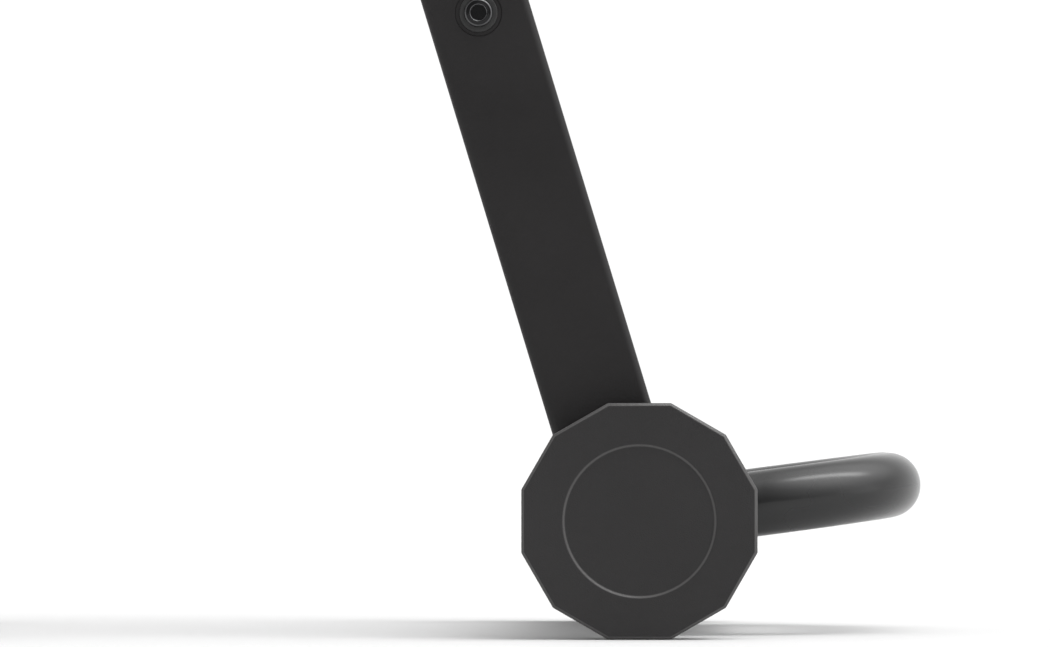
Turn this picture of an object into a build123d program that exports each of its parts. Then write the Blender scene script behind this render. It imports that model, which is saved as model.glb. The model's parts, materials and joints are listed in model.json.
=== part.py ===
from build123d import *
import math
import os

# Floor-standing bicycle rack that backs on to a wall.  Millimetres, +Z up.
# +X points out of the wall, towards the room; -Y is the left side.
# The origin is on the floor, under the middle of the rack's outline.

# ---- driving dimensions -------------------------------------------------
leg_lean = 16.9            # degrees from upright, top towards the wall
leg_width = 50.0           # leg tube, across its broad face
leg_depth = 25.0           # leg and post tube, along Y
leg_corner = 3.5           # outside corner radius of the leg tube
tube_wall = 2.0
leg_mid_y = 150.0          # middle of each side frame
leg_offset = 3.0           # the leg's centreline passes this far behind the base tube

base_radius = 30.0         # round base tube
base_half = 195.0          # half the base tube's length
cap_flats = 113.0          # twelve-sided end cap, across its flats
cap_face_y = 200.0         # outer face of each cap
cap_depth = 32.0
cap_sides = 12
cap_chamfer = 1.3
cap_recess_radius = 36.3      # shallow round recess in the face, at the middle of its sloping edge
cap_recess_slope = 1.3
cap_recess_depth = 0.9

hub_height = cap_flats / 2
wall_to_hub = 375.0
post_width = 40.0
post_height = 1250.0
post_foot = 6.0

loop_radius = 16.0         # wheel loop tube
loop_wall = 2.0
loop_tilt = 7.5            # degrees above level when it rests on its stop
loop_reach = 125.5         # base tube axis to the front bar's axis
loop_half = 105.0          # half the distance between its two arms
loop_bend = 62.0
loop_swing = 96.0          # degrees from the rest stop to the folded stop
collar_radius = 36.0
collar_bore = 31.5
collar_length = 36.0
stop_gap = 0.3

bolt_radius = 4.0
bolt_hole = 4.25
head_radius = 7.0
head_height = 4.4
washer_radius = 9.2
washer_thick = 1.6

arm_y = 90.0
arm_radius = 12.5
arm_length = 300.0         # pivot to the start of the upturned tip
arm_rise = 45.0            # length of the upturned tip
arm_tip_angle = 60.0
arm_bend = 45.0
sleeve_radius = 18.0
pin_radius = 5.0
knuckle = 17.0             # pivot to the knuckle's stop faces

# ---- places worked out from them ---------------------------------------
loop_tip = loop_reach * math.cos(math.radians(loop_tilt)) + loop_radius
rack_depth = wall_to_hub + loop_tip
wall_x = -rack_depth / 2
hub_x = wall_x + wall_to_hub
post_x = wall_x + post_width / 2
post_front = wall_x + post_width
lean = math.radians(leg_lean)
side_inner = leg_mid_y - leg_depth / 2
side_outer = leg_mid_y + leg_depth / 2
SIDES = {"left": -1, "right": 1}

os.makedirs("parts", exist_ok=True)


def save(name, shape):
    export_step(shape, f"parts/{name}.step")


def group(solids):
    return Compound(children=list(solids))


def block(x0, x1, y0, y1, z0, z1):
    centre = Pos((x0 + x1) / 2, (y0 + y1) / 2, (z0 + z1) / 2)
    return centre * Box(abs(x1 - x0), abs(y1 - y0), abs(z1 - z0))


def rod_y(x, z, radius, y0, y1):
    """Round bar along Y."""
    return Pos(x, (y0 + y1) / 2, z) * Rot(90, 0, 0) * Cylinder(radius, abs(y1 - y0))


def ring_y(x, z, outer, inner, y0, y1):
    return rod_y(x, z, outer, y0, y1) - rod_y(x, z, inner, min(y0, y1) - 1, max(y0, y1) + 1)


def leg_point(height):
    """X and Z of the leg's centreline at a height above the floor."""
    return hub_x - leg_offset - math.tan(lean) * (height - hub_height), height


def leg_plane(height, y):
    """Plane across the leg, whose normal runs up the leg."""
    x, z = leg_point(height)
    up = (-math.sin(lean), 0, math.cos(lean))
    return Plane(origin=(x, y, z), x_dir=(math.cos(lean), 0, math.sin(lean)), z_dir=up)


def tube(plane, wide, deep, corner, wall, length):
    outer = RectangleRounded(wide, deep, corner)
    inner = RectangleRounded(wide - 2 * wall, deep - 2 * wall, corner - wall)
    return extrude(plane * (outer - inner), length)


# ---- fastener places, as X and Z ---------------------------------------
low_rung_height = hub_height + 256 * math.cos(lean)
high_rung_height = 660.0
brace_height = 500.0
beam_height = 1200.0
rung_points = [leg_point(low_rung_height), leg_point(high_rung_height)]
brace_points = [leg_point(brace_height), (post_x, brace_height)]
gusset_points = [leg_point(1062), leg_point(1104), (post_x, 1075), (post_x, 1130)]
beam_point = (post_x, beam_height)
leg_bolts = [*rung_points, brace_points[0], *gusset_points[:2]]
post_bolts = [brace_points[1], *gusset_points[2:], beam_point]
dimple_radius = 11.2
dimple_depth = 0.5


def side_holes(points, side):
    """Holes through a side tube, with a shallow dimple under each washer."""
    cuts = []
    for x, z in points:
        cuts.append(rod_y(x, z, bolt_hole, side * (side_inner - 5), side * (side_outer + 5)))
        cuts.append(rod_y(x, z, dimple_radius, side * (side_outer - dimple_depth), side * (side_outer + 5)))
    return cuts


# ---- base tube and its end caps ----------------------------------------
def make_base_tube():
    tube_body = ring_y(hub_x, hub_height, base_radius, base_radius - tube_wall, -base_half, base_half)
    save("base_tube", tube_body)


def make_foot_cap(name, side):
    """Hollow twelve-sided cap: outer skirt, recessed end wall, gripping sleeve and ribs."""
    skirt_wall = 4.0
    end_wall = 4.6
    sleeve_outer = base_radius + 3.5
    rib = 2.4
    face = Plane(origin=(hub_x, side * cap_face_y, hub_height), x_dir=(1, 0, 0), z_dir=(0, -side, 0))
    turn = 180 / cap_sides
    outline = RegularPolygon(cap_flats / 2, cap_sides, major_radius=False, rotation=turn)
    hollow = RegularPolygon(cap_flats / 2 - skirt_wall, cap_sides, major_radius=False, rotation=turn)
    body = extrude(face * outline, cap_depth)
    front = body.faces().sort_by(Axis.Y)[0 if side < 0 else -1]
    body = chamfer(front.edges(), cap_chamfer)
    inside = extrude(face.offset(end_wall) * hollow, cap_depth)
    inside -= extrude(face.offset(end_wall) * Circle(sleeve_outer), cap_depth)
    for step in range(cap_sides):
        web = Pos((sleeve_outer + cap_flats / 2) / 2, 0) * Rectangle(cap_flats / 2 - sleeve_outer + 4, rib)
        web = Rot(0, 0, step * 360 / cap_sides) * web
        inside -= extrude(face.offset(end_wall) * web, cap_depth - end_wall - 3)
    body -= inside
    body -= extrude(face.offset(cap_face_y - base_half) * Circle(base_radius), cap_depth)
    rim = cap_recess_radius + cap_recess_slope / 2
    body -= face * Cone(rim, rim - cap_recess_slope, cap_recess_depth, align=(Align.CENTER, Align.CENTER, Align.MIN))
    save(name, body)


# ---- side frames ----------------------------------------------------------
def make_leg(name, side):
    leg = tube(leg_plane(hub_height, side * leg_mid_y), leg_width, leg_depth, leg_corner, tube_wall, 1300)
    leg -= rod_y(hub_x, hub_height, base_radius, -base_half, base_half)
    leg -= block(wall_x - 200, post_front, -base_half, base_half, 0, 1600)
    for cut in side_holes(leg_bolts, side):
        leg -= cut
    lowest = block(hub_x - 80, hub_x + 80, -base_half, base_half, -20, hub_height)
    save(name, leg - lowest)


def make_post(name, side):
    foot = Plane(origin=(post_x, side * leg_mid_y, post_foot), z_dir=(0, 0, 1))
    post = tube(foot, post_width, leg_depth, leg_corner, tube_wall, post_height - 2 * post_foot)
    for cut in side_holes(post_bolts, side):
        post -= cut
    save(name, post)


def make_post_ends():
    """Rubber feet under the posts and plastic plugs in their tops."""
    feet = []
    plugs = []
    for side in SIDES.values():
        y = side * leg_mid_y
        for z0, up, kept in ((0, 1, feet), (post_height, -1, plugs)):
            flange = Plane(origin=(post_x, y, z0), x_dir=(1, 0, 0), z_dir=(0, 0, up))
            plug = extrude(flange * RectangleRounded(post_width, leg_depth, leg_corner), post_foot)
            rim = plug.edges().filter_by(Axis.Z, reverse=True).group_by(Axis.Z)[0 if up > 0 else -1]
            plug = chamfer(rim, 1.2)
            shank = RectangleRounded(post_width - 2 * tube_wall, leg_depth - 2 * tube_wall, leg_corner - tube_wall)
            plug += extrude(flange.offset(post_foot) * shank, 22)
            kept.append(plug)
    save("post_feet", group(feet))
    save("post_plugs", group(plugs))


def make_rung(name, height, nut_name):
    """Cross rung between the legs, with a threaded block in each end."""
    x, z = leg_point(height)
    plane = Plane(origin=(x, -side_inner, z), x_dir=(-math.sin(lean), 0, math.cos(lean)), z_dir=(0, 1, 0))
    save(name, tube(plane, 40, 20, 3, 1.5, 2 * side_inner))
    blocks = []
    for side in SIDES.values():
        end = plane.offset(0 if side < 0 else 2 * side_inner - 30)
        solid = extrude(end * RectangleRounded(37, 17, 1.5), 30)
        blocks.append(solid - rod_y(x, z, bolt_radius, -side_inner - 1, side_inner + 1))
    save(nut_name, group(blocks))


def make_brace(name, side):
    """Flat bar joining leg and post half way up."""
    (x0, z), (x1, _) = brace_points
    plane = Plane(origin=((x0 + x1) / 2, side * side_inner, z), x_dir=(1, 0, 0), z_dir=(0, -side, 0))
    bar = extrude(plane * SlotCenterToCenter(abs(x0 - x1), 26), 5)
    for x in (x0, x1):
        bar -= rod_y(x, z, bolt_hole, side * (side_inner - 10), side * (side_inner + 10))
    save(name, bar)


def make_gusset(name, side):
    """Steel plate that ties the top of the leg to the post."""
    low = leg_point(1040)[0] + 22
    high = leg_point(1232)[0] + 22
    plane = Plane(origin=(0, side * side_inner, 0), x_dir=(1, 0, 0), z_dir=(0, -side, 0))
    flip = plane.y_dir.Z
    corners = [(wall_x + 4, 1040), (low, 1040), (high, 1232), (wall_x + 4, 1232)]
    face = make_face(Polyline(*[(x, z * flip) for x, z in corners], close=True))
    plate = extrude(plane * face, 3)
    upright = plate.edges().filter_by(Axis.Y)
    plate = fillet(upright, 6)
    for x, z in [*gusset_points, beam_point]:
        plate -= rod_y(x, z, bolt_hole, side * (side_inner - 10), side * (side_inner + 10))
    save(name, plate)


def make_wall_rail(name, height):
    """Flat bar across the posts, with a wall-fixing hole near each end."""
    rail = block(wall_x, wall_x + 6, -side_inner, side_inner, height - 20, height + 20)
    for side in SIDES.values():
        hole = Pos(wall_x, side * rail_hole_y, height) * Rot(0, 90, 0) * Cylinder(rail_hole, 40)
        rail -= hole
    save(name, rail)


rail_hole = 4.25
rail_hole_y = 100.0
rail_heights = {"lower_wall_rail": 400.0, "upper_wall_rail": 1000.0}


# ---- fasteners -----------------------------------------------------------
def button_bolt(x, z, side, length):
    """Button-head bolt with a hexagon socket, head outside, along Y."""
    seat = side * (side_outer - dimple_depth + washer_thick)
    plane = Plane(origin=(x, seat, z), x_dir=(1, 0, 0), z_dir=(0, side, 0))
    dome_radius = (head_radius ** 2 + head_height ** 2) / (2 * head_height)
    dome = Pos(0, 0, head_height - dome_radius) * Sphere(dome_radius)
    head = Cylinder(head_radius, head_height, align=(Align.CENTER, Align.CENTER, Align.MIN)) & dome
    head -= Pos(0, 0, head_height - 3.2) * extrude(RegularPolygon(3.3, 6, major_radius=False), 10)
    shank = Cylinder(bolt_radius, length, align=(Align.CENTER, Align.CENTER, Align.MAX))
    return plane.location * (head + shank)


def washer(x, z, side):
    inner = side * (side_outer - dimple_depth)
    return ring_y(x, z, washer_radius, bolt_hole, inner, inner + side * washer_thick)


def nut(x, z, side, plate):
    """Hexagon nut against the inner plate."""
    seat = side * (side_inner - plate)
    plane = Plane(origin=(x, seat, z), x_dir=(1, 0, 0), z_dir=(0, -side, 0))
    body = extrude(plane * RegularPolygon(6.5, 6, major_radius=False), 6.5)
    return body - rod_y(x, z, bolt_radius, seat - 20, seat + 20)


def make_fasteners():
    sets = {
        "rung": (rung_points, 46, None),
        "brace": (brace_points, 40, 5),
        "gusset": (gusset_points, 38, 3),
        "beam": ([beam_point], 50, None),
    }
    for name, (points, length, plate) in sets.items():
        places = [(x, z, side) for side in SIDES.values() for x, z in points]
        save(f"{name}_bolts", group(button_bolt(*place, length) for place in places))
        save(f"{name}_washers", group(washer(*place) for place in places))
        if plate:
            save(f"{name}_nuts", group(nut(*place, plate) for place in places))


# ---- wheel loop ----------------------------------------------------------
loop_plane = Plane(
    origin=(hub_x, 0, hub_height),
    x_dir=(math.cos(math.radians(loop_tilt)), 0, math.sin(math.radians(loop_tilt))),
    z_dir=(-math.sin(math.radians(loop_tilt)), 0, math.cos(math.radians(loop_tilt))),
)


def make_wheel_loop():
    corners = [(20, -loop_half), (loop_reach, -loop_half), (loop_reach, loop_half), (20, loop_half)]
    path = loop_plane * FilletPolyline(*corners, radius=loop_bend)
    section = Plane(origin=path @ 0, z_dir=path % 0) * (Circle(loop_radius) - Circle(loop_radius - loop_wall))
    loop = sweep(section, path=path)
    loop -= rod_y(hub_x, hub_height, collar_radius, -base_half, base_half)
    save("wheel_loop", loop)


def make_collars(name, bush_name, side):
    """Pivot collar welded to a loop arm, and the plastic bush inside it."""
    y0 = side * loop_half - collar_length / 2
    y1 = side * loop_half + collar_length / 2
    collar = ring_y(hub_x, hub_height, collar_radius, collar_bore, y0, y1)
    save(name, collar)
    bush = ring_y(hub_x, hub_height, collar_bore, base_radius + 0.08, y0, y1)
    save(bush_name, bush)


def make_retaining_rings():
    """Rings clamped to the base tube each side of the collars, with grub screws."""
    rings = []
    screws = []
    for side in SIDES.values():
        for edge in (-1, 1):
            near = side * loop_half + edge * (collar_length / 2 + stop_gap)
            far = near + edge * 8
            middle = (near + far) / 2
            hole = Pos(hub_x, middle, hub_height - 33) * Cylinder(2.5, 12)
            rings.append(ring_y(hub_x, hub_height, 35, base_radius, near, far) - hole)
            screw = Pos(hub_x, middle, hub_height - base_radius - 2.4) * Cylinder(2.5, 4.6)
            socket = Pos(hub_x, middle, hub_height - base_radius - 5) * extrude(
                RegularPolygon(1.25, 6, major_radius=False), 2.4)
            screws.append(screw - socket)
    save("retaining_rings", group(rings))
    save("ring_screws", group(screws))


def make_stop(name, angle, side):
    """T-shaped stop plate on the base tube; the loop's arms come to rest on it."""
    turned = Plane(
        origin=(hub_x, 0, hub_height),
        x_dir=(math.cos(angle), 0, math.sin(angle)),
        z_dir=(-math.sin(angle), 0, math.cos(angle)),
    )
    near = side * (loop_radius + stop_gap)
    stem = Pos(36, 0, near) * extrude(Rectangle(32, 140), side * 4)
    head = Pos(45, 0, near) * extrude(Rectangle(14, 230), side * 4)
    plate = turned.location * (stem + head)
    save(name, plate - rod_y(hub_x, hub_height, base_radius, -base_half, base_half))


# ---- top beam and folding arms -------------------------------------------
beam_depth = 25.0
beam_half = side_inner - 3
beam_front = post_x + beam_depth / 2
bracket_plate = 3.0
pivot_x = beam_front + bracket_plate + knuckle + 0.1
pivot_z = beam_height
knuckle_half = 11.0
cheek = 3.0


def make_beam():
    plane = Plane(origin=(post_x, -beam_half, beam_height), x_dir=(0, 0, 1), z_dir=(0, 1, 0))
    save("top_beam", tube(plane, 50, beam_depth, 3, tube_wall, 2 * beam_half))
    blocks = []
    for start in (0, 2 * beam_half - 30):
        solid = extrude(plane.offset(start) * RectangleRounded(46, beam_depth - 4, 1), 30)
        blocks.append(solid - rod_y(*beam_point, bolt_radius, -side_inner, side_inner))
    save("beam_blocks", group(blocks))


def make_bracket(name, side):
    """U-shaped bracket on the front of the beam that carries an arm's pivot."""
    y = side * arm_y
    gap = knuckle_half + 0.3
    plate = block(beam_front, beam_front + bracket_plate, y - 24, y + 24, pivot_z - 24, pivot_z + 24)
    body = plate
    for edge in (-1, 1):
        y0 = y + edge * gap
        y1 = y0 + edge * cheek
        ear = block(beam_front + bracket_plate, pivot_x, y0, y1, pivot_z - 15, pivot_z + 15)
        body += ear + rod_y(pivot_x, pivot_z, 15, y0, y1)
        body -= rod_y(pivot_x, pivot_z, pin_radius, y0 - 5, y1 + 5)
    save(name, body)


def make_arm(side_name, side):
    """Folding arm: knuckle, pivot pin, clips, tube, rubber sleeve and end plug."""
    y = side * arm_y
    reach = 45.0
    bore = rod_y(pivot_x, pivot_z, pin_radius + 0.05, y - 40, y + 40)
    eye = rod_y(pivot_x, pivot_z, knuckle, y - knuckle_half, y + knuckle_half)
    heel = block(pivot_x - knuckle, pivot_x, y - knuckle_half, y + knuckle_half, pivot_z - knuckle, pivot_z)
    bar = block(pivot_x, pivot_x + reach, y - knuckle_half, y + knuckle_half, pivot_z - knuckle, pivot_z + knuckle)
    save(f"arm_knuckle_{side_name}", eye + heel + bar - bore)

    tip = math.radians(arm_tip_angle)
    elbow = (pivot_x + arm_length, pivot_z)
    end = (elbow[0] + arm_rise * math.cos(tip), elbow[1] + arm_rise * math.sin(tip))
    points = [(pivot_x + reach, y, pivot_z), (elbow[0], y, elbow[1]), (end[0], y, end[1])]
    path = FilletPolyline(*points, radius=arm_bend)
    start = Plane(origin=path @ 0, z_dir=path % 0)
    save(f"arm_tube_{side_name}", sweep(start * (Circle(arm_radius) - Circle(arm_radius - 2)), path=path))

    sleeve = Circle(sleeve_radius) - Circle(arm_radius)
    sleeve_start = Plane(origin=(pivot_x + reach + 20, y, pivot_z), z_dir=(1, 0, 0))
    rubber = extrude(sleeve_start * sleeve, arm_length - reach - 60)
    ends = rubber.edges().filter_by(GeomType.CIRCLE).filter_by(lambda e: e.radius > sleeve_radius - 1)
    save(f"arm_sleeve_{side_name}", fillet(ends, 3))

    outward = Plane(origin=path @ 1, z_dir=path % 1)
    plug = extrude(outward * Circle(arm_radius), 5)
    crown = plug.edges().filter_by(GeomType.CIRCLE).sort_by(Axis.Z)[-1]
    plug = fillet(crown, 3)
    plug += extrude(outward.offset(-16) * Circle(arm_radius - 2), 16)
    save(f"arm_plug_{side_name}", plug)

    grip = knuckle_half + 0.3 + cheek
    pin = rod_y(pivot_x, pivot_z, pin_radius, y - grip - 4.5, y + grip + 4.5)
    pin = chamfer(pin.edges().filter_by(GeomType.CIRCLE), 0.8)
    clips = []
    for edge in (-1, 1):
        y0 = y + edge * grip
        y1 = y0 + edge * 1.2
        pin -= ring_y(pivot_x, pivot_z, pin_radius + 1, pin_radius - 0.8, y0, y1)
        clip = ring_y(pivot_x, pivot_z, 8, pin_radius - 0.8, y0, y1)
        clips.append(clip - block(pivot_x - 2.5, pivot_x + 2.5, y0 - 3, y0 + 3, pivot_z - 20, pivot_z))
    save(f"arm_pin_{side_name}", pin)
    return clips


def make_bracket_screws():
    """Short button-head screws that hold the arm brackets to the beam."""
    screws = []
    for side in SIDES.values():
        for dy, dz in ((-19.5, -19.5), (19.5, -19.5), (-19.5, 19.5), (19.5, 19.5)):
            plane = Plane(
                origin=(beam_front + bracket_plate, side * arm_y + dy, pivot_z + dz), z_dir=(1, 0, 0))
            head = Cylinder(3.6, 2.2, align=(Align.CENTER, Align.CENTER, Align.MIN))
            head = fillet(head.edges().group_by(Axis.Z)[-1], 1.2)
            head -= Pos(0, 0, 1.0) * extrude(RegularPolygon(1.5, 6, major_radius=False), 3)
            screws.append(plane.location * head)
    save("bracket_screws", group(screws))


make_base_tube()
for side_name, side_sign in SIDES.items():
    make_foot_cap(f"foot_cap_{side_name}", side_sign)
    make_leg(f"leg_{side_name}", side_sign)
    make_post(f"post_{side_name}", side_sign)
    make_brace(f"side_brace_{side_name}", side_sign)
    make_gusset(f"gusset_{side_name}", side_sign)
    make_collars(f"loop_collar_{side_name}", f"loop_bush_{side_name}", side_sign)
    make_bracket(f"arm_bracket_{side_name}", side_sign)
make_post_ends()
make_rung("lower_rung", low_rung_height, "lower_rung_blocks")
make_rung("upper_rung", high_rung_height, "upper_rung_blocks")
for rail_name, rail_height in rail_heights.items():
    make_wall_rail(rail_name, rail_height)
make_fasteners()
make_wheel_loop()
make_retaining_rings()
make_stop("loop_rest", math.radians(loop_tilt), -1)
make_stop("fold_stop", math.radians(loop_tilt + loop_swing), 1)
make_beam()
all_clips = []
for side_name, side_sign in SIDES.items():
    all_clips += make_arm(side_name, side_sign)
save("pin_clips", group(all_clips))
make_bracket_screws()
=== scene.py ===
import json
import math

import bpy
from mathutils import Matrix, Vector


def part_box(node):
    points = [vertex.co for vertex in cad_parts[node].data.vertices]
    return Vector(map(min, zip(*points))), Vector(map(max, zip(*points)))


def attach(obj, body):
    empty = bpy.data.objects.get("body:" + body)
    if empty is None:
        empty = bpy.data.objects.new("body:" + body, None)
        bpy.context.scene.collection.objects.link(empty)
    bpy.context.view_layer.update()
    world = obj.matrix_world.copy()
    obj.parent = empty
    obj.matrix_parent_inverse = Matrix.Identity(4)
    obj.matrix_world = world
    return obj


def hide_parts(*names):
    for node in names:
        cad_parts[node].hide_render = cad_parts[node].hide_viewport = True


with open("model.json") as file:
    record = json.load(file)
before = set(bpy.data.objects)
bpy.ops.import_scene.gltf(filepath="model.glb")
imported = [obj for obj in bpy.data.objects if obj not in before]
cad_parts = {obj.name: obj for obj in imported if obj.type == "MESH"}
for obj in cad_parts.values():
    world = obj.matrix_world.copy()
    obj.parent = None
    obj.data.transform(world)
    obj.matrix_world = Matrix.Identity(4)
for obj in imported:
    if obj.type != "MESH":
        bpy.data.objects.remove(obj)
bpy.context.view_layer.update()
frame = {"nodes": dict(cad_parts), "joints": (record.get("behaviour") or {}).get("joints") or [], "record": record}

bl_info = {
    "name": "Bicycle wall rack",
    "version": (1, 0, 0),
    "blender": (4, 5, 0),
    "location": "View3D > Sidebar > Rack",
    "description": "Builds the finished look of a floor-standing bicycle rack round its fixed frame",
    "category": "Object",
}

SIDES = {"left": -1, "right": 1}
MERGE_DISTANCE = 1e-5
FINE_MERGE = 1e-6
TUBE_WALL = 0.002


# ---- places taken from the frame ------------------------------------------
def middle(node):
    low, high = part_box(node)
    return (low + high) / 2


def span(node):
    low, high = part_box(node)
    return high - low


def joint_place(name):
    joint = next(j for j in frame["joints"] if j["name"] == name)
    return Vector(joint["pos_m"])


HUB = joint_place("loop_fold")
BASE_RADIUS = span("base_tube").z / 2
COLLAR_RADIUS = span("loop_collar_left").z / 2
LOOP_TUBE = 0.016
LOOP_HALF = middle("loop_collar_right").y
LOOP_BEND = 0.062
LOOP_START = 0.033
LOOP_TILT = math.radians(7.5)
LOOP_REACH = (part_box("wheel_loop")[1].x - LOOP_TUBE - HUB.x) / math.cos(LOOP_TILT)
LOOP_AXIS = Vector((math.cos(LOOP_TILT), 0, math.sin(LOOP_TILT)))
LOOP_UP = Vector((-math.sin(LOOP_TILT), 0, math.cos(LOOP_TILT)))
LEG_LEAN = math.radians(16.9)
LEG_AXIS = Vector((-math.sin(LEG_LEAN), 0, math.cos(LEG_LEAN)))
LEG_SIDE = Vector((math.cos(LEG_LEAN), 0, math.sin(LEG_LEAN)))
LEG_WIDTH = 0.050
LEG_DEPTH = span("leg_left").y
LEG_CORNER = 0.0035
LEG_OFFSET = 0.003
LEG_FOOT = HUB - LEG_SIDE * LEG_OFFSET * math.cos(LEG_LEAN)


# ---- selection helpers ------------------------------------------------------
def deselect():
    if bpy.context.object and bpy.context.object.mode != "OBJECT":
        bpy.ops.object.mode_set(mode="OBJECT")
    bpy.ops.object.select_all(action="DESELECT")


def take(piece):
    deselect()
    piece.select_set(True)
    bpy.context.view_layer.objects.active = piece


def edit(piece, kind="VERT"):
    take(piece)
    bpy.ops.object.mode_set(mode="EDIT")
    bpy.ops.mesh.select_mode(type=kind)


def select_all():
    bpy.ops.mesh.select_all(action="SELECT")


def close_up(piece):
    """Merges a piece's doubled points and turns its faces outwards."""
    edit(piece)
    select_all()
    bpy.ops.mesh.remove_doubles(threshold=MERGE_DISTANCE)
    select_all()
    bpy.ops.mesh.normals_make_consistent(inside=False)
    deselect()


def settle(piece):
    """Moves the piece's place into its mesh, so that its object is at the origin."""
    take(piece)
    bpy.ops.object.transform_apply(location=True, rotation=True, scale=True)


def apply_modifier(piece, kind, name="step", **values):
    take(piece)
    modifier = piece.modifiers.new(name, kind)
    for key, value in values.items():
        setattr(modifier, key, value)
    bpy.ops.object.modifier_apply(modifier=modifier.name)


def smooth(piece, degrees=32):
    take(piece)
    bpy.ops.object.shade_smooth_by_angle(angle=math.radians(degrees))


def join(pieces, name):
    deselect()
    for piece in pieces:
        piece.select_set(True)
    bpy.context.view_layer.objects.active = pieces[0]
    if len(pieces) > 1:
        bpy.ops.object.join()
    pieces[0].name = name
    return pieces[0]


def copy_to(piece, matrix):
    """A copy with its own mesh, placed by a matrix that goes into the mesh."""
    twin = piece.copy()
    twin.data = piece.data.copy()
    bpy.context.scene.collection.objects.link(twin)
    twin.data.transform(matrix)
    return twin


def finish_piece(piece, material, body, slot, *nodes):
    """Gives a piece its material and body, and hides the nodes that it stands for. The slot argument is not used.
    """
    piece.data.materials.clear()
    piece.data.materials.append(bpy.data.materials[material])
    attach(piece, body)
    if nodes:
        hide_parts(*nodes)


def body_of_node(node):
    return next(b for b, members in frame["record"]["behaviour"]["bodies"].items() if node in members)


def slot_of_node(node):
    return next(s["material_slot"] for s in frame["record"]["subparts"] if s["node"] == node)


# ---- shader node groups -------------------------------------------------------
def new_group(name, inputs, outputs):
    group = bpy.data.node_groups.new(name, "ShaderNodeTree")
    for label, kind, default in inputs:
        socket = group.interface.new_socket(name=label, in_out="INPUT", socket_type=kind)
        if default is not None:
            socket.default_value = default
    for label, kind in outputs:
        group.interface.new_socket(name=label, in_out="OUTPUT", socket_type=kind)
    source = group.nodes.new("NodeGroupInput")
    target = group.nodes.new("NodeGroupOutput")
    return group, source, target


def math_node(tree, operation, a, b=None, clamp=False):
    node = tree.nodes.new("ShaderNodeMath")
    node.operation = operation
    node.use_clamp = clamp
    for index, value in enumerate((a, b)):
        if value is None:
            continue
        if isinstance(value, (int, float)):
            node.inputs[index].default_value = value
        else:
            tree.links.new(value, node.inputs[index])
    return node.outputs[0]


def ramp(tree, value, low, high, out_low=0.0, out_high=1.0):
    node = tree.nodes.new("ShaderNodeMapRange")
    tree.links.new(value, node.inputs["Value"])
    node.inputs["From Min"].default_value = low
    node.inputs["From Max"].default_value = high
    node.inputs["To Min"].default_value = out_low
    node.inputs["To Max"].default_value = out_high
    return node.outputs["Result"]


def noise(tree, vector, scale, detail=3.0, roughness=0.5):
    node = tree.nodes.new("ShaderNodeTexNoise")
    tree.links.new(vector, node.inputs["Vector"])
    if isinstance(scale, (int, float)):
        node.inputs["Scale"].default_value = scale
    else:
        tree.links.new(scale, node.inputs["Scale"])
    node.inputs["Detail"].default_value = detail
    node.inputs["Roughness"].default_value = roughness
    return node.outputs["Fac"]


def build_grain_group():
    """Fine surface grain: a height for bump and a slow variation from 0 to 1."""
    group, source, target = new_group(
        "surface_grain",
        [("Vector", "NodeSocketVector", None), ("Fine Scale", "NodeSocketFloat", 900.0),
         ("Slow Scale", "NodeSocketFloat", 12.0), ("Pitting", "NodeSocketFloat", 0.3)],
        [("Height", "NodeSocketFloat"), ("Variation", "NodeSocketFloat")],
    )
    fine = noise(group, source.outputs["Vector"], source.outputs["Fine Scale"], 4.0, 0.55)
    cells = group.nodes.new("ShaderNodeTexVoronoi")
    group.links.new(source.outputs["Vector"], cells.inputs["Vector"])
    group.links.new(source.outputs["Fine Scale"], cells.inputs["Scale"])
    pits = ramp(group, cells.outputs["Distance"], 0.0, 0.6)
    pits = math_node(group, "MULTIPLY", pits, source.outputs["Pitting"])
    group.links.new(math_node(group, "ADD", fine, pits), target.inputs["Height"])
    slow = noise(group, source.outputs["Vector"], source.outputs["Slow Scale"], 3.0, 0.6)
    group.links.new(ramp(group, slow, 0.3, 0.7), target.inputs["Variation"])
    return group


def build_wear_group():
    """Handling wear and dust: masks from slow noise and from which way the surface faces."""
    group, source, target = new_group(
        "wear_and_dust",
        [("Vector", "NodeSocketVector", None), ("Dust", "NodeSocketFloat", 0.1),
         ("Scuffs", "NodeSocketFloat", 0.1)],
        [("Dust Mask", "NodeSocketFloat"), ("Scuff Mask", "NodeSocketFloat")],
    )
    geometry = group.nodes.new("ShaderNodeNewGeometry")
    split = group.nodes.new("ShaderNodeSeparateXYZ")
    group.links.new(geometry.outputs["Normal"], split.inputs["Vector"])
    up = ramp(group, split.outputs["Z"], 0.2, 1.0)
    patches = ramp(group, noise(group, source.outputs["Vector"], 35.0, 5.0, 0.65), 0.42, 0.75)
    dust = math_node(group, "MULTIPLY", up, patches)
    dust = math_node(group, "MULTIPLY", dust, source.outputs["Dust"], True)
    group.links.new(dust, target.inputs["Dust Mask"])
    stretch = group.nodes.new("ShaderNodeMapping")
    stretch.inputs["Scale"].default_value = (1.0, 1.0, 0.12)
    group.links.new(source.outputs["Vector"], stretch.inputs["Vector"])
    lines = ramp(group, noise(group, stretch.outputs["Vector"], 420.0, 2.0, 0.5), 0.66, 0.74)
    where = ramp(group, noise(group, source.outputs["Vector"], 9.0, 2.0, 0.5), 0.52, 0.68)
    scuffs = math_node(group, "MULTIPLY", lines, where)
    scuffs = math_node(group, "MULTIPLY", scuffs, source.outputs["Scuffs"], True)
    group.links.new(scuffs, target.inputs["Scuff Mask"])
    return group


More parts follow.
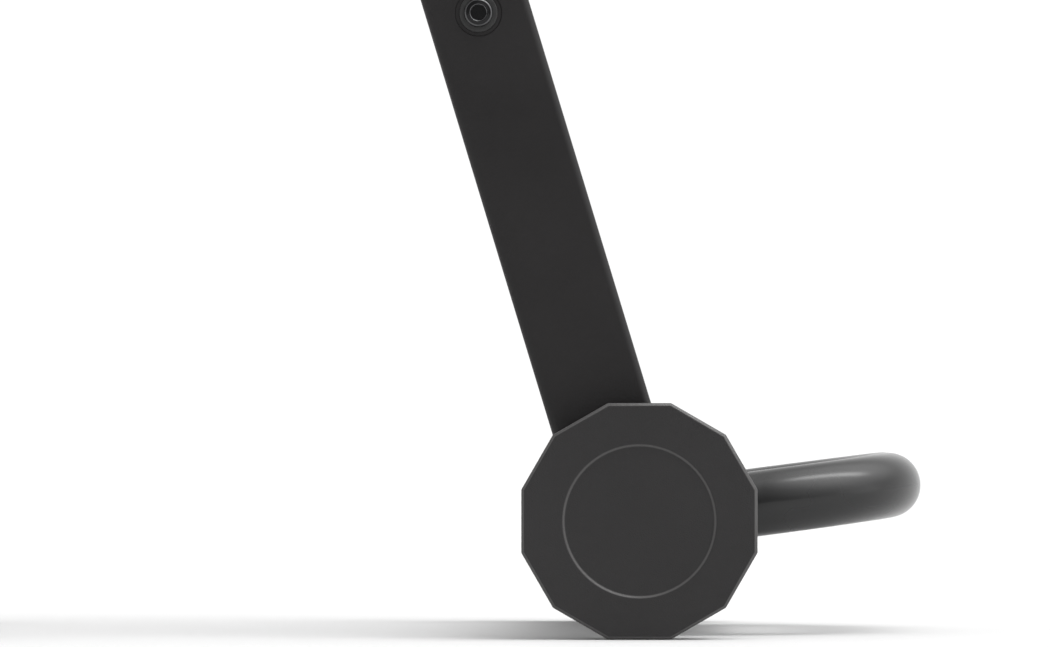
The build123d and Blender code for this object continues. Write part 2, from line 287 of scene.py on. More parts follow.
def new_material(name, base, roughness, **sockets):
    """A Principled material with object coordinates ready, and its plain values on its own sockets."""
    material = bpy.data.materials.new(name)
    material.use_nodes = True
    tree = material.node_tree
    shader = next(n for n in tree.nodes if n.type == "BSDF_PRINCIPLED")
    shader.inputs["Base Color"].default_value = (*base, 1)
    shader.inputs["Roughness"].default_value = roughness
    for key, value in sockets.items():
        shader.inputs[key.replace("_", " ")].default_value = value
    place = tree.nodes.new("ShaderNodeTexCoord")
    return tree, shader, place.outputs["Object"]


def use_group(tree, group, vector, **values):
    node = tree.nodes.new("ShaderNodeGroup")
    node.node_tree = bpy.data.node_groups[group]
    tree.links.new(vector, node.inputs["Vector"])
    for key, value in values.items():
        node.inputs[key.replace("_", " ")].default_value = value
    return node


def mix_colour(tree, mask, first, second):
    node = tree.nodes.new("ShaderNodeMix")
    node.data_type = "RGBA"
    tree.links.new(mask, node.inputs["Factor"])
    for value, label in ((first, "A"), (second, "B")):
        socket = [s for s in node.inputs if s.name == label and s.type == "RGBA"][0]
        if isinstance(value, tuple):
            socket.default_value = (*value, 1)
        else:
            tree.links.new(value, socket)
    return [s for s in node.outputs if s.type == "RGBA"][0]


def bump(tree, shader, height, strength, distance):
    node = tree.nodes.new("ShaderNodeBump")
    node.inputs["Strength"].default_value = strength
    node.inputs["Distance"].default_value = distance
    tree.links.new(height, node.inputs["Height"])
    tree.links.new(node.outputs["Normal"], shader.inputs["Normal"])


def surface_finish(name, base, rough, vary, grain, pitting, relief, dust=0.1, scuffs=0.1, **sockets):
    """A coated or moulded surface: colour and roughness drift, fine grain, thin dust and faint scuffs."""
    tree, shader, place = new_material(name, base, rough, **sockets)
    fine = use_group(tree, "surface_grain", place, Fine_Scale=grain, Slow_Scale=14.0, Pitting=pitting)
    worn = use_group(tree, "wear_and_dust", place, Dust=dust, Scuffs=scuffs)
    lighter = tuple(c * (1 + vary) + 0.001 for c in base)
    colour = mix_colour(tree, fine.outputs["Variation"], base, lighter)
    colour = mix_colour(tree, worn.outputs["Scuff Mask"], colour, tuple(c * 2.2 + 0.01 for c in base))
    colour = mix_colour(tree, worn.outputs["Dust Mask"], colour, DUST_COLOUR)
    tree.links.new(colour, shader.inputs["Base Color"])
    drift = ramp(tree, fine.outputs["Variation"], 0.0, 1.0, rough - 0.04, rough + 0.05)
    dusty = math_node(tree, "MULTIPLY", worn.outputs["Dust Mask"], DUST_ROUGHNESS)
    drift = math_node(tree, "ADD", drift, dusty)
    tree.links.new(drift, shader.inputs["Roughness"])
    bump(tree, shader, fine.outputs["Height"], 1.0, relief)
    return tree, shader


DUST_COLOUR = (0.22, 0.21, 0.2)
DUST_ROUGHNESS = 0.3
# Painted edge sheen on slopes: their roughness here, and the limits below that pick the slopes out.
SLOPE_ROUGHNESS = 0.30
SLOPE_SIDE = (0.12, 0.45)       # how far a slope may lean towards square to Y
SLOPE_FLAT = (0.97, 0.86)       # and towards straight out along Y


def paint_slope_sheen(tree, shader, colour):
    """Painted edge sheen: a lighter colour and a lower roughness on surfaces that face neither straight out along
    Y nor square to it; the lighter colour stands in for the highlights of chamfers.
    """
    facing = tree.nodes.new("ShaderNodeSeparateXYZ")
    tree.links.new(tree.nodes.new("ShaderNodeTexCoord").outputs["Normal"], facing.inputs["Vector"])
    lean = math_node(tree, "ABSOLUTE", facing.outputs["Y"])
    mask = math_node(tree, "MULTIPLY", ramp(tree, lean, *SLOPE_SIDE), ramp(tree, lean, *SLOPE_FLAT))
    plain = shader.inputs["Base Color"].links[0].from_socket
    tree.links.new(mix_colour(tree, mask, plain, colour), shader.inputs["Base Color"])
    rough = math_node(tree, "MULTIPLY", shader.inputs["Roughness"].links[0].from_socket,
                      math_node(tree, "SUBTRACT", 1.0, mask))
    sheen_rough = math_node(tree, "MULTIPLY", mask, SLOPE_ROUGHNESS)
    tree.links.new(math_node(tree, "ADD", rough, sheen_rough), shader.inputs["Roughness"])


def build_materials(colours):
    build_grain_group()
    build_wear_group()
    surface_finish("satin_powder_coat", tuple(colours.frame_colour), 0.40, 0.25, 700.0, 0.35, 0.00006,
                   dust=0.06, scuffs=0.10, Specular_IOR_Level=0.30)
    surface_finish("gloss_powder_coat", tuple(colours.loop_colour), 0.25, 0.2, 380.0, 0.1, 0.00003,
                   dust=0.03, scuffs=0.02, Specular_IOR_Level=0.42, Coat_Weight=0.2, Coat_Roughness=0.06)
    tree, shader = surface_finish("moulded_cap_plastic", tuple(colours.cap_colour), 0.52, 0.18, 1500.0, 0.7,
                                  0.00010, dust=0.08, scuffs=0.12, Specular_IOR_Level=0.36)
    # Painted edge sheen on the caps' chamfers and recess slope: a lighter colour that stands in for their
    # highlights.
    paint_slope_sheen(tree, shader, tuple(colours.cap_edge_sheen_colour))
    surface_finish("foot_rubber", (0.018, 0.018, 0.018), 0.78, 0.3, 900.0, 0.4, 0.00010, dust=0.25)
    surface_finish("sleeve_rubber", (0.022, 0.022, 0.023), 0.68, 0.25, 1100.0, 0.6, 0.00012, dust=0.12)
    tree, shader = surface_finish("black_oxide", (0.009, 0.009, 0.0095), 0.20, 0.3, 900.0, 0.2, 0.00002,
                                  dust=0.01, scuffs=0.05, Metallic=1.0, Coat_Weight=0.35, Coat_Roughness=0.05)
    # Painted highlight on the bolt heads' rims and socket mouths: lighter slopes stand in for bright glints.
    paint_slope_sheen(tree, shader, (0.10, 0.10, 0.103))
    surface_finish("washer_oxide", (0.016, 0.016, 0.016), 0.36, 0.3, 900.0, 0.2, 0.00003,
                   dust=0.02, scuffs=0.08, Specular_IOR_Level=0.45)
    surface_finish("zinc_plate", (0.50, 0.50, 0.48), 0.32, 0.12, 500.0, 0.3, 0.00003,
                   dust=0.06, scuffs=0.2, Metallic=1.0)
    surface_finish("grey_nylon", (0.06, 0.06, 0.06), 0.45, 0.08, 800.0, 0.2, 0.00005)


SLOT_MATERIAL = {
    "frame_paint": "satin_powder_coat",
    "loop_paint": "gloss_powder_coat",
    "cap_plastic": "moulded_cap_plastic",
    "foot_rubber": "foot_rubber",
    "sleeve_rubber": "sleeve_rubber",
    "black_fastener": "black_oxide",
    "plated_steel": "zinc_plate",
    "bush_nylon": "grey_nylon",
}


# ---- pieces -----------------------------------------------------------------
def clean_copy(node):
    """A merged copy of a CAD node, its flat faces joined up again."""
    source = frame["nodes"][node]
    twin = source.copy()
    twin.data = source.data.copy()
    for key in [k for k in twin.keys() if k.startswith("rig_")]:
        del twin[key]
    twin.parent = None
    bpy.context.scene.collection.objects.link(twin)
    twin.name = "finished_" + node
    edit(twin)
    select_all()
    bpy.ops.mesh.remove_doubles(threshold=MERGE_DISTANCE)
    bpy.ops.mesh.dissolve_limited(angle_limit=math.radians(0.5))
    bpy.ops.mesh.customdata_custom_splitnormals_clear()
    deselect()
    return twin


def soften(node, width, segments=3, angle=28):
    """Rounds the edges of a CAD node's copy and puts it in the node's place."""
    piece = clean_copy(node)
    smooth(piece, 35)
    apply_modifier(piece, "BEVEL", width=width, segments=segments, limit_method="ANGLE",
                   angle_limit=math.radians(angle), use_clamp_overlap=False, harden_normals=True)
    edit(piece)
    select_all()
    bpy.ops.mesh.remove_doubles(threshold=FINE_MERGE)
    deselect()
    finish_piece(piece, SLOT_MATERIAL[slot_of_node(node)], body_of_node(node), slot_of_node(node), node)
    return piece


def bent_tube(name, centre, axis, side, radius, runs, sides=64):
    """A round tube drawn through straight runs and bends: circle, extrude and spin in turn.

    runs holds ("run", length) and ("bend", radius, angle); a bend turns towards side."""
    deselect()
    bpy.ops.mesh.primitive_circle_add(vertices=sides, radius=radius, fill_type="NOTHING")
    piece = bpy.context.object
    piece.name = name
    piece.rotation_mode = "QUATERNION"
    piece.rotation_quaternion = axis.to_track_quat("Z", "Y")
    piece.location = centre
    settle(piece)
    edit(piece)
    select_all()
    at, ahead, inward = centre.copy(), axis.normalized(), side.normalized()
    for run in runs:
        if run[0] == "run":
            bpy.ops.mesh.extrude_region_move(TRANSFORM_OT_translate={"value": ahead * run[1]})
            at = at + ahead * run[1]
        else:
            _, bend_radius, angle = run
            pivot = at + inward * bend_radius
            normal = ahead.cross(inward)
            steps = max(6, round(math.degrees(angle) / 2))
            bpy.ops.mesh.spin(steps=steps, angle=angle, center=pivot, axis=-normal)
            turn = Matrix.Rotation(angle, 3, normal)
            at = pivot + turn @ (at - pivot)
            ahead, inward = turn @ ahead, turn @ inward
    deselect()
    close_up(piece)
    return piece, at, ahead


def spun(name, profile, centre, axis, start, steps=64):
    """A round piece: a profile of (along, out) points spun about an axis, closed where it meets the axis."""
    deselect()
    mesh = bpy.data.meshes.new(name)
    points = [centre + axis * along + start * out for along, out in profile]
    mesh.from_pydata(points, [(i, i + 1) for i in range(len(points) - 1)], [])
    piece = bpy.data.objects.new(name, mesh)
    bpy.context.scene.collection.objects.link(piece)
    edit(piece)
    select_all()
    bpy.ops.mesh.spin(steps=steps, angle=2 * math.pi, center=centre, axis=axis)
    deselect()
    close_up(piece)
    return piece


def bead(name, points, radius, closed, ripple=0.18, pitch=0.0022):
    """A weld bead: a tube along a path, swelled and pinched into overlapping ripples."""
    deselect()
    curve = bpy.data.curves.new(name, "CURVE")
    curve.dimensions = "3D"
    curve.bevel_depth = radius
    curve.bevel_resolution = 4
    curve.use_fill_caps = not closed
    spline = curve.splines.new("POLY")
    spline.points.add(len(points) - 1)
    for target, point in zip(spline.points, points):
        target.co = (*point, 1)
    spline.use_cyclic_u = closed
    along = 0.0
    for index, target in enumerate(spline.points):
        if index:
            along += (points[index] - points[index - 1]).length
        target.radius = 1 + ripple * math.sin(2 * math.pi * along / pitch) + 0.05 * math.sin(along * 410)
    piece = bpy.data.objects.new(name, curve)
    bpy.context.scene.collection.objects.link(piece)
    take(piece)
    bpy.ops.object.convert(target="MESH")
    piece = bpy.context.object
    close_up(piece)
    smooth(piece, 60)
    return piece


def rounded_rectangle(wide, deep, corner, step):
    """Points round a rectangle with rounded corners, evenly spaced."""
    points = []
    quarter = [(1, 1, 0), (-1, 1, 90), (-1, -1, 180), (1, -1, 270)]
    for sx, sy, start in quarter:
        for k in range(7):
            angle = math.radians(start + 15 * k)
            points.append(Vector((sx * (wide / 2 - corner) + corner * math.cos(angle),
                                  sy * (deep / 2 - corner) + corner * math.sin(angle), 0)))
    dense = []
    for first, second in zip(points, points[1:] + points[:1]):
        count = max(1, round((second - first).length / step))
        dense += [first.lerp(second, k / count) for k in range(count)]
    return dense


def make_base_tube():
    low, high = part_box("base_tube")
    start = Vector((HUB.x, low.y, HUB.z))
    piece, _, _ = bent_tube("finished_base_tube", start, Vector((0, 1, 0)), Vector((0, 0, 1)), BASE_RADIUS,
                            [("run", high.y - low.y)], sides=96)
    apply_modifier(piece, "SOLIDIFY", thickness=TUBE_WALL, offset=-1)
    smooth(piece)
    finish_piece(piece, "satin_powder_coat", "frame", "frame_paint", "base_tube")


def make_wheel_loop():
    """The loop is drawn out from one collar, round its two bends and back to the other."""
    arm = LOOP_REACH - LOOP_BEND - LOOP_START
    start = HUB + LOOP_AXIS * LOOP_START + Vector((0, -LOOP_HALF, 0))
    runs = [("run", arm), ("bend", LOOP_BEND, math.pi / 2), ("run", 2 * (LOOP_HALF - LOOP_BEND)),
            ("bend", LOOP_BEND, math.pi / 2), ("run", arm)]
    piece, _, _ = bent_tube("finished_wheel_loop", start, LOOP_AXIS, Vector((0, 1, 0)), LOOP_TUBE, runs,
                            sides=72)
    apply_modifier(piece, "SOLIDIFY", thickness=TUBE_WALL, offset=-1)
    smooth(piece, 40)
    finish_piece(piece, "gloss_powder_coat", "loop", "loop_paint", "wheel_loop")


LOOP_WELD, LEG_WELD, RAIL_WELD, ARM_WELD = 0.0024, 0.0026, 0.0018, 0.0018
LOOP_WELD_POINTS, RAIL_WELD_STEPS, ARM_WELD_POINTS = 180, 90, 150
LEG_WELD_STEP = 0.0006
RAIL_WELD_INSET = 0.0004


def make_loop_welds():
    for label, side in SIDES.items():
        points = []
        for k in range(LOOP_WELD_POINTS):
            turn = 2 * math.pi * k / LOOP_WELD_POINTS
            up, out = LOOP_TUBE * math.sin(turn), LOOP_TUBE * math.cos(turn)
            along = math.sqrt(COLLAR_RADIUS ** 2 - up ** 2)
            points.append(HUB + LOOP_AXIS * along + LOOP_UP * up + Vector((0, side * LOOP_HALF + out, 0)))
        piece = bead(f"loop_weld_{label}", points, LOOP_WELD, True)
        finish_piece(piece, "gloss_powder_coat", "loop", "loop_paint")


def make_leg_welds():
    offset = (LEG_FOOT - HUB).dot(LEG_SIDE)
    outline = rounded_rectangle(LEG_WIDTH, LEG_DEPTH, LEG_CORNER, LEG_WELD_STEP)
    for label in SIDES:
        y = middle(f"leg_{label}").y
        points = []
        for p in outline:
            across = p.x + offset
            along = math.sqrt(BASE_RADIUS ** 2 - across ** 2)
            points.append(HUB + LEG_SIDE * across + LEG_AXIS * along + Vector((0, y + p.y, 0)))
        piece = bead(f"leg_weld_{label}", points, LEG_WELD, True)
        finish_piece(piece, "satin_powder_coat", "frame", "frame_paint")


def make_rail_welds():
    for node in ("lower_wall_rail", "upper_wall_rail"):
        low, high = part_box(node)
        beads = []
        for y in (low.y, high.y):
            inward = RAIL_WELD_INSET if y < 0 else -RAIL_WELD_INSET
            points = [Vector((high.x, y + inward, low.z + (high.z - low.z) * k / RAIL_WELD_STEPS))
                      for k in range(RAIL_WELD_STEPS + 1)]
            beads.append(bead("rail_bead", points, RAIL_WELD, False))
        piece = join(beads, f"{node}_welds")
        finish_piece(piece, "satin_powder_coat", "frame", "frame_paint")


ARM_TUBE = 0.0125
ARM_BEND = 0.045
ARM_TIP_ANGLE = math.radians(60)
ARM_REACH = 0.300
ARM_RISE = 0.045
SLEEVE_ROUND = 0.003
SLEEVE_PLAIN = 0.012            # length without ribs at each end
RIB_PITCH = 0.0060
RIB_GROOVE = 0.0011


def make_arm(label):
    """Arm tube with its upturned tip, ribbed rubber sleeve, end plug and the weld at the knuckle."""
    pivot = joint_place(f"arm_fold_{label}")
    body = f"arm_{label}"
    start = Vector((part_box(f"arm_knuckle_{label}")[1].x, pivot.y, pivot.z))
    out = Vector((1, 0, 0))
    tangent = ARM_BEND * math.tan(ARM_TIP_ANGLE / 2)
    first = pivot.x + ARM_REACH - tangent - start.x
    runs = [("run", first), ("bend", ARM_BEND, ARM_TIP_ANGLE), ("run", ARM_RISE - tangent)]
    piece, end, ahead = bent_tube(f"finished_arm_tube_{label}", start, out, Vector((0, 0, 1)), ARM_TUBE, runs)
    apply_modifier(piece, "SOLIDIFY", thickness=TUBE_WALL, offset=-1)
    smooth(piece, 40)
    finish_piece(piece, "gloss_powder_coat", body, "loop_paint", f"arm_tube_{label}")

    radius = ARM_TUBE
    across = ahead.orthogonal().normalized()
    plug = spun(f"finished_arm_plug_{label}",
                [(-0.016, 0), (-0.016, radius - 0.0025), (-0.0003, radius - 0.0022), (0, radius - 0.0002),
                 (0.0006, radius), (0.0022, radius)]
                + [(0.0022 + 0.0026 * math.sin(t), radius - 0.0030 + 0.0030 * math.cos(t))
                   for t in (0.3, 0.6, 0.9, 1.2, 1.5)]
                + [(0.0050, 0.004), (0.0051, 0)], end, ahead, across)
    smooth(plug, 40)
    finish_piece(plug, "moulded_cap_plastic", body, "cap_plastic", f"arm_plug_{label}")

    low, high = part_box(f"arm_sleeve_{label}")
    length, outer, core = high.x - low.x, (high.z - low.z) / 2, ARM_TUBE
    shoulder = outer - SLEEVE_ROUND
    profile = [(0, core), (0, shoulder)]
    profile += [(SLEEVE_ROUND - SLEEVE_ROUND * math.cos(t), shoulder + SLEEVE_ROUND * math.sin(t))
                for t in (0.4, 0.8, 1.2, 1.57)]
    count = int((length - 2 * SLEEVE_PLAIN) / RIB_PITCH)
    edge = (length - count * RIB_PITCH) / 2
    for k in range(count):
        at = edge + k * RIB_PITCH
        profile += [(at, outer), (at + 0.0008, outer - 0.0004), (at + 0.0014, outer - RIB_GROOVE),
                    (at + 0.0022, outer - RIB_GROOVE), (at + 0.0028, outer - 0.0004), (at + 0.0036, outer)]
    profile += [(length - SLEEVE_ROUND + SLEEVE_ROUND * math.sin(t), shoulder + SLEEVE_ROUND * math.cos(t))
                for t in (0, 0.4, 0.8, 1.2, 1.57)]
    profile += [(length, core), (0, core)]
    sleeve = spun(f"finished_arm_sleeve_{label}", profile, Vector((low.x, pivot.y, pivot.z)), out,
                  Vector((0, 0, 1)), steps=72)
    smooth(sleeve, 40)
    finish_piece(sleeve, "sleeve_rubber", body, "sleeve_rubber", f"arm_sleeve_{label}")

    points = [start + Vector((0, radius * math.cos(t), radius * math.sin(t)))
              for t in (2 * math.pi * k / ARM_WELD_POINTS for k in range(ARM_WELD_POINTS))]
    weld = bead(f"arm_weld_{label}", points, ARM_WELD, True)
    finish_piece(weld, "gloss_powder_coat", body, "loop_paint")


# ---- fasteners --------------------------------------------------------------
HEAD_RADIUS = 0.007
HEAD_HEIGHT = 0.0044
SOCKET_FLATS = 0.0072
SOCKET_DEPTH = 0.0032
SHANK_RADIUS = 0.004
MOUTH_RADIUS = 0.0044
HEAD_STEPS = 48
WASHER_RADIUS = 0.0092
WASHER_THICK = 0.0016
BOLT_SETS = {"rung": 0.046, "brace": 0.040, "gusset": 0.038, "beam": 0.050}


def model_bolt(length):
    """One button-head bolt, its head towards +Z with the seat at the origin."""
    radius, bore = SHANK_RADIUS, MOUTH_RADIUS
    corner, crown = 0.0013, HEAD_HEIGHT - 0.0003
    profile = [(-length, 0), (-length, radius - 0.0008), (-length + 0.0008, radius), (0, radius),
               (0, HEAD_RADIUS - 0.0003), (0.0002, HEAD_RADIUS), (crown - corner, HEAD_RADIUS - 0.0002)]
    for k in range(1, 9):
        turn = math.pi / 2 * k / 8
        profile.append((crown - corner + corner * math.sin(turn),
                        HEAD_RADIUS - 0.0002 - corner + corner * math.cos(turn)))
    profile += [(crown + 0.00003, HEAD_RADIUS - 0.0018), (HEAD_HEIGHT - 0.00003, bore + 0.0002),
                (HEAD_HEIGHT, bore), (HEAD_HEIGHT - 0.0001, bore - 0.0003),
                (HEAD_HEIGHT - 0.0003, bore - 0.0005), (HEAD_HEIGHT - 0.0003, 0)]
    bolt = spun("bolt_model", profile, Vector(), Vector((0, 0, 1)), Vector((1, 0, 0)), steps=HEAD_STEPS)
    deselect()
    # Half a step of turn keeps the socket's corners off the edges of the head.
    bpy.ops.mesh.primitive_cylinder_add(vertices=6, radius=SOCKET_FLATS / 2 / math.cos(math.pi / 6),
                                        depth=SOCKET_DEPTH,
                                        location=(0, 0, HEAD_HEIGHT - 0.0006 - SOCKET_DEPTH / 2 + 0.0004),
                                        rotation=(0, 0, math.pi / HEAD_STEPS))
    cutter = bpy.context.object
    settle(cutter)
    apply_modifier(bolt, "BOOLEAN", operation="DIFFERENCE", object=cutter, solver="EXACT")
    bpy.data.objects.remove(cutter)
    smooth(bolt, 30)
    return bolt


def model_washer():
    inner, outer, thick, round_off = 0.0043, WASHER_RADIUS, WASHER_THICK, 0.0004
    profile = [(0, inner), (0, outer - 0.0002), (0.0002, outer), (thick - round_off, outer)]
    profile += [(thick - round_off + round_off * math.sin(t), outer - round_off + round_off * math.cos(t))
                for t in (0.5, 1.0, 1.57)]
    profile += [(thick, outer - round_off - 0.0003), (thick, inner + 0.0002), (thick - 0.0002, inner),
                (0, inner)]
    washer = spun("washer_model", profile, Vector(), Vector((0, 0, 1)), Vector((1, 0, 0)), steps=64)
    smooth(washer, 35)
    return washer


def washer_places(node):
    """Centre and side of each washer in a node, read from the node's loose parts."""
    reach = 2.2 * WASHER_RADIUS
    islands = []
    for vertex in frame["nodes"][node].data.vertices:
        at = vertex.co
        home = next((i for i in islands if (i[0].xz - at.xz).length < reach and i[0].y * at.y > 0), None)
        if home is None:
            islands.append([at.copy(), at.copy(), at.copy()])
        else:
            home[1] = Vector(map(min, home[1], at))
            home[2] = Vector(map(max, home[2], at))
    return [((low + high) / 2, 1 if low.y > 0 else -1, low, high) for _, low, high in islands]


def make_bolts(name, length):
    bolt, washer = model_bolt(length), model_washer()
    bolts, washers = [], []
    for index, (centre, side, low, high) in enumerate(washer_places(f"{name}_washers")):
        base = low.y if side > 0 else high.y
        face = base + side * WASHER_THICK
        turn = Vector((0, side, 0)).to_track_quat("Z", "Y").to_matrix().to_4x4()
        clocking = Matrix.Rotation(math.radians(17 + 41 * index), 4, "Z")
        bolts.append(copy_to(bolt, Matrix.Translation((centre.x, face, centre.z)) @ turn @ clocking))
        washers.append(copy_to(washer, Matrix.Translation((centre.x, base, centre.z)) @ turn @ clocking))
    for model in (bolt, washer):
        bpy.data.objects.remove(model)
    bolts, washers = join(bolts, f"finished_{name}_bolts"), join(washers, f"finished_{name}_washers")
    finish_piece(bolts, "black_oxide", "frame", "black_fastener", f"{name}_bolts")
    finish_piece(washers, "washer_oxide", "frame", "black_fastener", f"{name}_washers")


SOFTENED = {
    0.0005: ["foot_cap_left", "foot_cap_right", "post_feet", "post_plugs"],
    0.0004: ["side_brace_left", "side_brace_right", "gusset_left", "gusset_right", "lower_wall_rail",
             "upper_wall_rail", "arm_bracket_left", "arm_bracket_right", "loop_rest", "fold_stop",
             "arm_knuckle_left", "arm_knuckle_right"],
    0.0003: ["leg_left", "leg_right", "post_left", "post_right", "lower_rung", "upper_rung", "top_beam",
             "loop_collar_left", "loop_collar_right", "retaining_rings", "brace_nuts", "gusset_nuts"],
}


def colour_nodes():
    for node, piece in frame["nodes"].items():
        piece.data.materials.clear()
        piece.data.materials.append(bpy.data.materials[SLOT_MATERIAL[slot_of_node(node)]])


# ---- stage ----------------------------------------------------------------
KEY_AXIS = (0.45, -0.08, 0.86)
STRIP_AXIS = (0.43, -0.09, 0.90)
STRIP_EDGE = (-0.385, 0.880, 0.285)
FILL_AXIS = (1.0, -0.3, 0.12)
FRONT_AXIS = (0.45, -0.62, 0.64)
STRIP_GLOW = (5, 29, 2.15)      # inner angle, outer angle, strength
STRIP_WIDTH = (0.14, 0.04)
SOFT_GLOWS = ((KEY_AXIS, 8, 50, 0.52), (FILL_AXIS, 4, 26, 0.18), (FRONT_AXIS, 5, 42, 0.22))
ROOM_DEPTH = (-1.0, -0.1, 0.40, 1.08)   # two places along Y, then the brightness at each
ROOM_HEIGHT = (0.0, 0.9, 1.0, 0.7)      # the same along Z


def look_along(yaw, pitch):
    return Vector((math.sin(yaw) * math.cos(pitch), math.cos(yaw) * math.cos(pitch), math.sin(pitch)))


def toward(tree, direction, axis):
    """How far a world direction leans towards an axis, from -1 to 1."""
    node = tree.nodes.new("ShaderNodeVectorMath")
    node.operation = "DOT_PRODUCT"
    tree.links.new(direction, node.inputs[0])
    node.inputs[1].default_value = Vector(axis).normalized()
    return node.outputs["Value"]


def glow(tree, direction, axis, inner, outer, strength):
    """A soft round patch of light in the sky, full to the inner angle and gone at the outer one."""
    node = tree.nodes.new("ShaderNodeMapRange")
    node.interpolation_type = "SMOOTHSTEP"
    tree.links.new(toward(tree, direction, axis), node.inputs["Value"])
    node.inputs["From Min"].default_value = math.cos(math.radians(outer))
    node.inputs["From Max"].default_value = math.cos(math.radians(inner))
    node.inputs["To Min"].default_value = 0
    node.inputs["To Max"].default_value = strength
    return node.outputs["Result"]


def build_world(background, level, key_level):
    """A white room, dim behind the camera and brighter beyond the rack, with a wide soft key, upper right."""
    world = bpy.data.worlds.new("studio_white")
    bpy.context.scene.world = world
    world.use_nodes = True
    tree = world.node_tree
    shade = tree.nodes["Background"]
    sky = tree.nodes.new("ShaderNodeTexCoord").outputs["Generated"]
    room = ramp(tree, toward(tree, sky, (0, 1, 0)), *ROOM_DEPTH)
    room = math_node(tree, "MULTIPLY", room, ramp(tree, toward(tree, sky, (0, 0, 1)), *ROOM_HEIGHT))
    across = math_node(tree, "ABSOLUTE", toward(tree, sky, STRIP_EDGE))
    strip = ramp(tree, across, *STRIP_WIDTH)
    strip = math_node(tree, "MULTIPLY", strip, glow(tree, sky, STRIP_AXIS, *STRIP_GLOW))
    lit = math_node(tree, "MULTIPLY", room, level)
    for key in (*(glow(tree, sky, *patch) for patch in SOFT_GLOWS), strip):
        lit = math_node(tree, "ADD", lit, math_node(tree, "MULTIPLY", key, key_level))
    shade.inputs["Color"].default_value = (1, 1, 1, 1)
    path = tree.nodes.new("ShaderNodeLightPath")
    seen = math_node(tree, "MULTIPLY", path.outputs["Is Camera Ray"], background)
    unseen = math_node(tree, "SUBTRACT", 1.0, path.outputs["Is Camera Ray"])
    lit = math_node(tree, "MULTIPLY", lit, unseen)
    tree.links.new(math_node(tree, "ADD", seen, lit), shade.inputs["Strength"])


def build_stage(stage):
    deselect()
    bpy.ops.mesh.primitive_plane_add(size=90, location=(0, 0, -0.0002))
    floor = bpy.context.object
    floor.name = "floor"
    settle(floor)
    tree, shader, place = new_material("pale_floor", tuple(stage.floor_colour), 0.7, Specular_IOR_Level=0.2)
    drift = ramp(tree, noise(tree, place, 1.5, 2.0, 0.5), 0.3, 0.7)
    light = tuple(min(1.0, c * 1.01) for c in stage.floor_colour)
    tree.links.new(mix_colour(tree, drift, tuple(stage.floor_colour), light), shader.inputs["Base Color"])
    floor.data.materials.append(bpy.data.materials["pale_floor"])
    build_world(stage.background_level, stage.ambient_level, stage.key_level)
    bpy.context.scene.view_settings.view_transform = "Standard"

    data = bpy.data.cameras.new("side_camera")
    camera = bpy.data.objects.new("side_camera", data)
    bpy.context.scene.collection.objects.link(camera)
    data.sensor_width = 36.0
    data.lens = stage.camera_lens
    data.clip_start, data.clip_end = 0.1, 200
    camera.location = (HUB.x + stage.camera_shift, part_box("foot_cap_left")[0].y - stage.camera_distance,
                       stage.camera_height)
    camera.rotation_mode = "QUATERNION"
    camera.rotation_quaternion = look_along(stage.camera_yaw, stage.camera_pitch).to_track_quat("-Z", "Y")
    bpy.context.scene.camera = camera


# ---- settings ---------------------------------------------------------------
def level_property(name, description, default, **limits):
    return bpy.props.FloatProperty(name=name, description=description, default=default, **limits)


def length_property(name, description, default):
    return level_property(name, description, default, unit="LENGTH", precision=4)


def angle_property(name, description, degrees):
    return level_property(name, description, math.radians(degrees), subtype="ANGLE")


def colour_property(name, description, default):
    return bpy.props.FloatVectorProperty(name=name, description=description, default=default, subtype="COLOR",
                                         size=3, min=0, max=1)


class RackLooks(bpy.types.PropertyGroup):
    frame_colour: colour_property("Frame", "Powder coat of legs, posts and plates", (0.0090, 0.0081, 0.0084))
    loop_colour: colour_property("Loop", "Gloss coat of the wheel loop and arms", (0.006, 0.006, 0.0062))
    cap_colour: colour_property("Caps", "Moulded plastic of the end caps", (0.0155, 0.0146, 0.0150))
    # Painted sheen: the lighter colour of the caps' chamfers stands in for edge highlights.
    cap_edge_sheen_colour: colour_property("Cap edges", "Rubbed chamfers of the end caps", (0.065, 0.063, 0.063))
    edge_scale: level_property("Edge rounding", "Scales how far edges are rounded", 1.0, min=0.1, max=2)


class RackStage(bpy.types.PropertyGroup):
    floor_colour: colour_property("Floor", "Pale studio floor", (0.67, 0.67, 0.67))
    background_level: level_property("Background", "Brightness behind", 1.05)
    ambient_level: level_property("Ambient", "Brightness all round", 1.0)
    key_level: level_property("Key light", "Soft light from the upper right", 3.4)
    camera_lens: level_property("Lens", "Focal length, mm", 286.9)
    camera_distance: length_property("Distance", "Camera to the near end cap's face", 4.0)
    camera_height: length_property("Height", "Camera above the floor", 0.0988)
    camera_shift: length_property("Sideways", "Camera sideways from the base tube's axis", -0.0234)
    camera_yaw: angle_property("Yaw", "Camera turn", -0.448)
    camera_pitch: angle_property("Pitch", "Camera tilt", 0.748)


# ---- operators --------------------------------------------------------------
class RACK_OT_materials(bpy.types.Operator):
    """Build every material and give the fixed nodes theirs"""
    bl_idname = "rack.materials"
    bl_label = "Materials"

    def execute(self, context):
        build_materials(context.scene.rack_looks)
        colour_nodes()
        return {"FINISHED"}


class RACK_OT_plates(bpy.types.Operator):
    """Round the edges of the caps, legs, posts, plates, rungs and nuts"""
    bl_idname = "rack.plates"
    bl_label = "Rounded frame pieces"

    def execute(self, context):
        for width, nodes in SOFTENED.items():
            for node in nodes:
                soften(node, width * context.scene.rack_looks.edge_scale)
        return {"FINISHED"}


class RACK_OT_base(bpy.types.Operator):
    """Model the base tube and the weld beads of the frame"""
    bl_idname = "rack.base"
    bl_label = "Base tube and welds"

    def execute(self, context):
        make_base_tube()
        make_leg_welds()
        make_rail_welds()
        return {"FINISHED"}


class RACK_OT_wheel_loop(bpy.types.Operator):
    """Model the wheel loop and its welds"""
    bl_idname = "rack.wheel_loop"
    bl_label = "Wheel loop"

    def execute(self, context):
        make_wheel_loop()
        make_loop_welds()
        return {"FINISHED"}


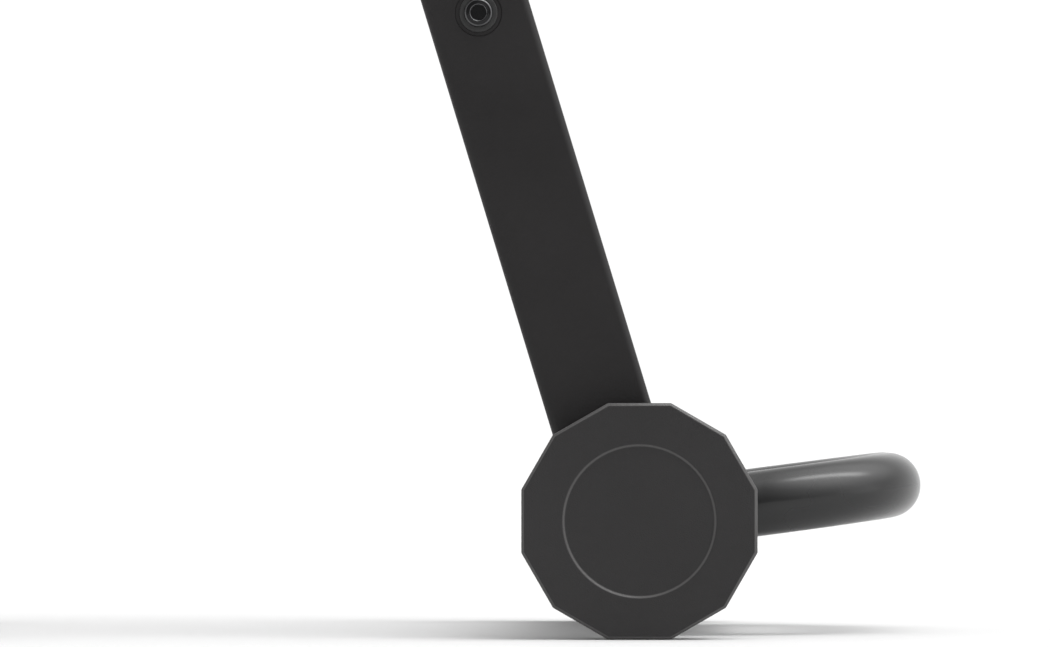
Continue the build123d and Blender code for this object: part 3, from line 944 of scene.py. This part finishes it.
class RACK_OT_arms(bpy.types.Operator):
    """Model the folding arms with their sleeves and plugs"""
    bl_idname = "rack.arms"
    bl_label = "Folding arms"

    def execute(self, context):
        for label in SIDES:
            make_arm(label)
        return {"FINISHED"}


class RACK_OT_bolts(bpy.types.Operator):
    """Model the button-head bolts and their washers"""
    bl_idname = "rack.bolts"
    bl_label = "Bolts and washers"

    def execute(self, context):
        for name, length in BOLT_SETS.items():
            make_bolts(name, length)
        return {"FINISHED"}


class RACK_OT_stage(bpy.types.Operator):
    """Set the floor, the sky light and the camera"""
    bl_idname = "rack.stage"
    bl_label = "Stage"

    def execute(self, context):
        build_stage(context.scene.rack_stage)
        return {"FINISHED"}


class RACK_PT_panel(bpy.types.Panel):
    """Lists the steps that build the rack"""
    bl_idname = "RACK_PT_panel"
    bl_label = "Bicycle wall rack"
    bl_space_type = "VIEW_3D"
    bl_region_type = "UI"
    bl_category = "Rack"

    def draw(self, context):
        for group in (context.scene.rack_looks, context.scene.rack_stage):
            for name in group.__annotations__:
                self.layout.prop(group, name)
        for step in STEPS:
            self.layout.operator(step.bl_idname)


GROUPS = (RackLooks, RackStage)
STEPS = (RACK_OT_materials, RACK_OT_plates, RACK_OT_base, RACK_OT_wheel_loop, RACK_OT_arms, RACK_OT_bolts,
         RACK_OT_stage)


def register():
    for item in (*GROUPS, *STEPS, RACK_PT_panel):
        bpy.utils.register_class(item)
    bpy.types.Scene.rack_looks = bpy.props.PointerProperty(type=RackLooks)
    bpy.types.Scene.rack_stage = bpy.props.PointerProperty(type=RackStage)


def unregister():
    del bpy.types.Scene.rack_stage
    del bpy.types.Scene.rack_looks
    for item in (RACK_PT_panel, *reversed(STEPS), *reversed(GROUPS)):
        bpy.utils.unregister_class(item)


def main():
    register()
    bpy.ops.rack.materials()
    bpy.ops.rack.plates()
    bpy.ops.rack.base()
    bpy.ops.rack.wheel_loop()
    bpy.ops.rack.arms()
    bpy.ops.rack.bolts()
    bpy.ops.rack.stage()
    bpy.context.view_layer.update()


if __name__ == "__main__":
    main()
